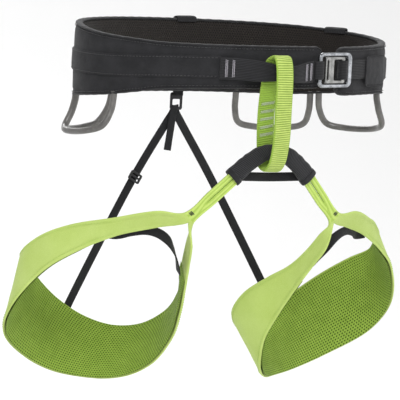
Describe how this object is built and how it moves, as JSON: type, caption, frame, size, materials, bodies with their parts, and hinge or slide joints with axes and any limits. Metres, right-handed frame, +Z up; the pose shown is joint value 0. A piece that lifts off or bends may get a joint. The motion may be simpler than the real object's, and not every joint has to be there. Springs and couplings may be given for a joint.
{
  "type": "climbing harness",
  "caption": "Sport climbing harness with padded waist belt, slide buckle, belay loop, mesh-lined leg loops, elastic rear risers and gear loops.",
  "frame": {"origin": "middle of the waist opening, at the belt's mid height in front", "axes": "+Z up, the wearer faces -Y, +X is the wearer's left"},
  "size_m": [0.4422, 0.2348, 0.3648],
  "materials": {
    "belt_fabric": "matte woven black",
    "belt_mesh": "perforated black mesh",
    "black_webbing": "ribbed black webbing",
    "foam": "laminated foam and load webbing",
    "lime_fabric": "smooth lime ripstop",
    "lime_webbing": "ribbed lime webbing",
    "green_mesh": "green spacer mesh",
    "stitching": "bar tack thread",
    "buckle_metal": "bead blasted, polished edges",
    "gear_tube": "translucent grey tube",
    "black_plastic": "moulded black"
  },
  "bodies": {
    "waist_belt": {"waist_shell": "belt_fabric", "waist_foam_core": "foam", "waist_mesh_lining": "belt_mesh", "waist_binding_top": "belt_fabric", "waist_binding_bottom": "belt_fabric", "waist_load_band": "belt_fabric", "waist_top_tab_rear": "black_webbing", "waist_top_tab_left": "black_webbing", "tie_in_webbing": "black_webbing", "tie_in_bartack_1": "stitching", "tie_in_bartack_2": "stitching", "tie_in_bartack_3": "stitching", "tie_in_bartack_4": "stitching", "buckle_frame": "buckle_metal", "waist_strap": "black_webbing", "strap_sleeve": "belt_fabric", "buckle_anchor_webbing": "black_webbing", "riser_anchor_tape": "black_webbing"},
    "slider": {"buckle_slider": "buckle_metal"},
    "belay": {"belay_loop": "lime_webbing", "belay_bartack_1": "stitching", "belay_bartack_2": "stitching", "belay_bartack_3": "stitching", "belay_bartack_4": "stitching", "belay_bartack_5": "stitching"},
    "bridge": {"bridge_sleeve": "black_webbing", "bridge_cuff_left": "black_webbing", "bridge_cuff_right": "black_webbing", "bridge_spacer_strap": "black_webbing"},
    "leg_left": {"leg_left_shell": "lime_fabric", "leg_left_load_core": "lime_webbing", "leg_left_mesh_lining": "green_mesh", "leg_left_riser_tab": "black_webbing", "leg_left_fork_bartack": "black_webbing", "leg_left_elastic": "black_webbing"},
    "leg_right": {"leg_right_shell": "lime_fabric", "leg_right_load_core": "lime_webbing", "leg_right_mesh_lining": "green_mesh", "leg_right_riser_tab": "black_webbing", "leg_right_fork_bartack": "black_webbing", "leg_right_elastic": "black_webbing"},
    "risers": {"riser_hook": "black_plastic", "riser_strap_left": "black_webbing", "riser_strap_right": "black_webbing", "riser_tail": "black_webbing", "riser_ladder_lock": "black_plastic"},
    "gear_loop_rear_left": {"gear_loop_rear_left": "gear_tube", "gear_loop_rear_left_cord": "black_webbing"},
    "gear_loop_front_left": {"gear_loop_front_left": "gear_tube", "gear_loop_front_left_cord": "black_webbing"},
    "gear_loop_rear_right": {"gear_loop_rear_right": "gear_tube", "gear_loop_rear_right_cord": "black_webbing"},
    "gear_loop_front_right": {"gear_loop_front_right": "gear_tube", "gear_loop_front_right_cord": "black_webbing"}
  },
  "joints": [
    {"name": "belay_swing", "type": "hinge", "parent": "waist_belt", "child": "belay", "pos_m": [0, -0.105, -0.004], "axis": [-1, 0, 0], "range_deg": [-3, 12]},
    {"name": "bridge_swing", "type": "hinge", "parent": "belay", "child": "bridge", "pos_m": [0, -0.0885, -0.0825], "axis": [-1, 0, 0], "range_deg": [-13.5, 3.5]},
    {"name": "riser_swing", "type": "hinge", "parent": "waist_belt", "child": "risers", "pos_m": [0, 0.112, -0.047], "axis": [-1, 0, 0], "range_deg": [-1, 3.6]},
    {"name": "leg_left_swing", "type": "hinge", "parent": "bridge", "child": "leg_left", "pos_m": [0.044, -0.084, -0.111], "axis": [0.3106, 0.7462, -0.5889], "range_deg": [-8, 8]},
    {"name": "leg_right_swing", "type": "hinge", "parent": "bridge", "child": "leg_right", "pos_m": [-0.044, -0.084, -0.111], "axis": [-0.3106, 0.7462, -0.5889], "range_deg": [-8, 8]},
    {"name": "slider_tilt", "type": "hinge", "parent": "waist_belt", "child": "slider", "pos_m": [0.07448, -0.08801, -0.001], "axis": [0, 0, 1], "range_deg": [0, 35]},
    {"name": "gear_loop_rear_left_lift", "type": "hinge", "parent": "waist_belt", "child": "gear_loop_rear_left", "pos_m": [0.09532, 0.0819, -0.04196], "axis": [0.9223, -0.3859, 0.0226], "range_deg": [0, 45]},
    {"name": "gear_loop_front_left_lift", "type": "hinge", "parent": "waist_belt", "child": "gear_loop_front_left", "pos_m": [0.15139, 0.02848, -0.03707], "axis": [0.3859, -0.9182, 0.0894], "range_deg": [0, 45]},
    {"name": "gear_loop_rear_right_lift", "type": "hinge", "parent": "waist_belt", "child": "gear_loop_rear_right", "pos_m": [-0.12157, 0.0664, -0.04219], "axis": [0.8294, 0.5586, -0.0095], "range_deg": [0, 45]},
    {"name": "gear_loop_front_right_lift", "type": "hinge", "parent": "waist_belt", "child": "gear_loop_front_right", "pos_m": [-0.15683, 0.00182, -0.0379], "axis": [-0.1209, 0.9874, -0.1025], "range_deg": [0, 45]}
  ],
  "couplings": [
    {"joint": "bridge_swing", "follows": "belay_swing", "ratio": -1.1038},
    {"joint": "riser_swing", "follows": "belay_swing", "ratio": 0.2876}
  ]
}
